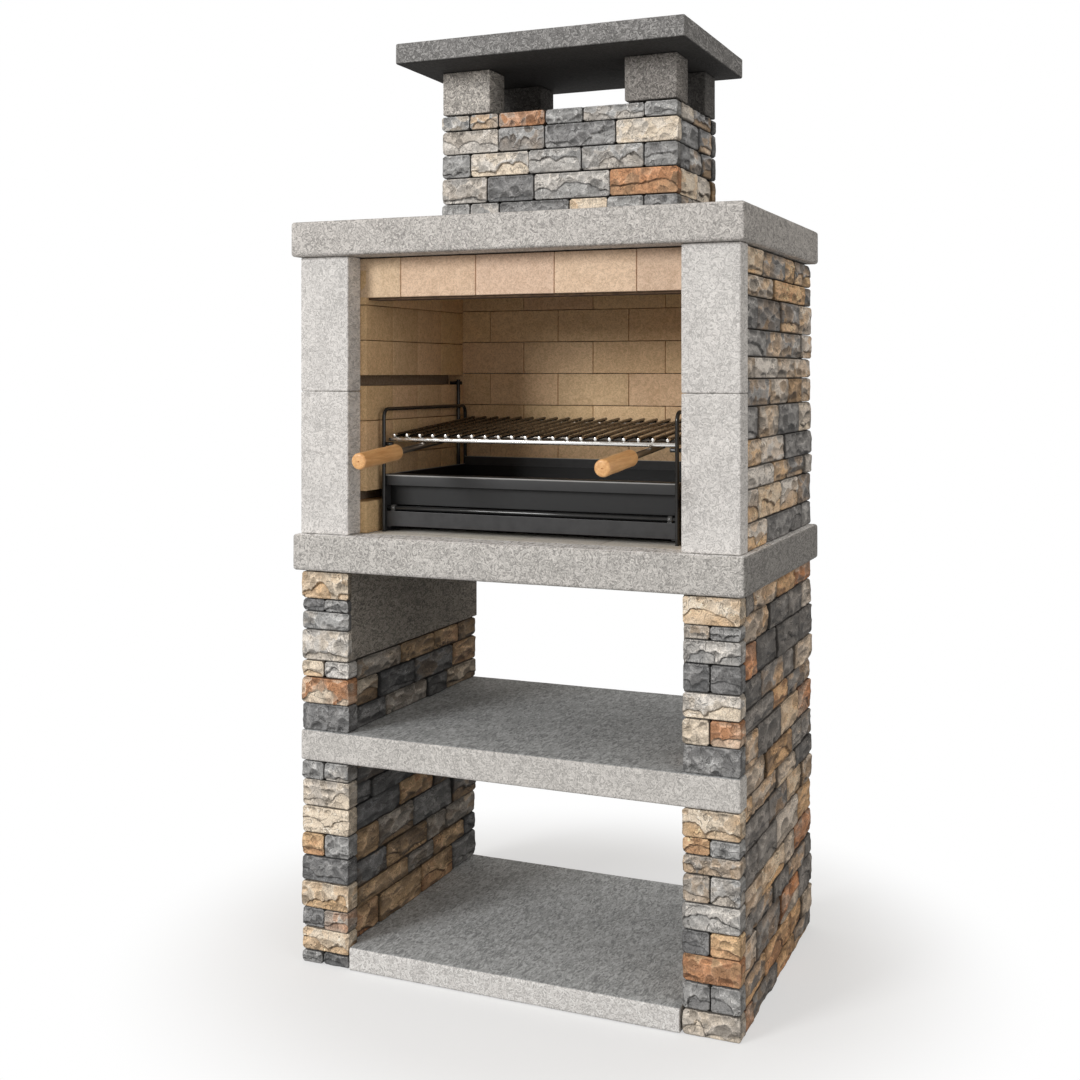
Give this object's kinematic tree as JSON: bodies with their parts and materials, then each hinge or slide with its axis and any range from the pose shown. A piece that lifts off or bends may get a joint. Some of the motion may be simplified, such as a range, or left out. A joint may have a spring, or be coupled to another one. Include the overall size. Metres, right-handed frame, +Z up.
{
  "type": "masonry barbecue",
  "caption": "Free-standing masonry barbecue: stone-clad legs with shelves, a firebrick-lined firebox with a sliding grill and ash drawer, and a capped chimney.",
  "frame": {"origin": "on the ground under the middle of the body, halfway between the legs' front and back", "axes": "+X to the right as seen from the front, +Y to the back, +Z up"},
  "size_m": [0.92, 0.7334, 1.837],
  "materials": {
    "split_stone": "split face, dry joints",
    "concrete": "cast, fine speckle",
    "dark_concrete": "cast, weathered grey",
    "firebrick": "matt firebrick",
    "black_steel": "black heat-resistant paint",
    "stainless": "polished wire",
    "oak": "turned and varnished"
  },
  "bodies": {
    "masonry": {"back_firebox_wall": "concrete", "back_lining_bricks": "firebrick", "base_slab": "concrete", "brazier_back_plate": "black_steel", "brazier_front_rail": "black_steel", "brazier_left_side": "black_steel", "brazier_right_side": "black_steel", "chimney_back_stones": "split_stone", "chimney_cap": "dark_concrete", "chimney_front_stones": "split_stone", "chimney_left_stones": "split_stone", "chimney_right_stones": "split_stone", "drawer_runners": "black_steel", "ember_grate": "black_steel", "ember_tray": "black_steel", "flue_walls": "concrete", "front_left_cap_post": "dark_concrete", "front_right_cap_post": "dark_concrete", "hearth_floor_tiles": "firebrick", "hearth_slab": "concrete", "left_bearer": "concrete", "left_firebox_stones": "split_stone", "left_firebox_wall": "concrete", "left_grill_frame": "black_steel", "left_inner_stones": "split_stone", "left_lining_bricks": "firebrick", "left_lower_core": "concrete", "left_lower_jamb": "concrete", "left_outer_stones": "split_stone", "left_quoins": "split_stone", "left_rear_post": "black_steel", "left_upper_core": "concrete", "left_upper_jamb": "concrete", "lintel_angle": "black_steel", "lintel_bricks": "firebrick", "mantel_slab": "concrete", "rear_left_cap_post": "dark_concrete", "rear_right_cap_post": "dark_concrete", "right_bearer": "concrete", "right_firebox_stones": "split_stone", "right_firebox_wall": "concrete", "right_grill_frame": "black_steel", "right_inner_stones": "split_stone", "right_lining_bricks": "firebrick", "right_lower_core": "concrete", "right_lower_jamb": "concrete", "right_outer_stones": "split_stone", "right_quoins": "split_stone", "right_rear_post": "black_steel", "right_upper_core": "concrete", "right_upper_jamb": "concrete", "shelf_slab": "concrete"},
    "ash_drawer": {"ash_drawer": "black_steel", "drawer_pull_rod": "black_steel", "pull_rod_collars": "black_steel"},
    "grill": {"grill_ring": "stainless", "grill_bars": "stainless", "grill_arms": "black_steel", "grill_grips": "oak"}
  },
  "joints": [
    {"name": "drawer_slide", "type": "slide", "parent": "masonry", "child": "ash_drawer", "axis": [0, -1, 0], "range_m": [0, 0.3]},
    {"name": "grill_slide", "type": "slide", "parent": "masonry", "child": "grill", "axis": [0, -0.9976, -0.0698], "range_m": [0, 0.3]}
  ]
}
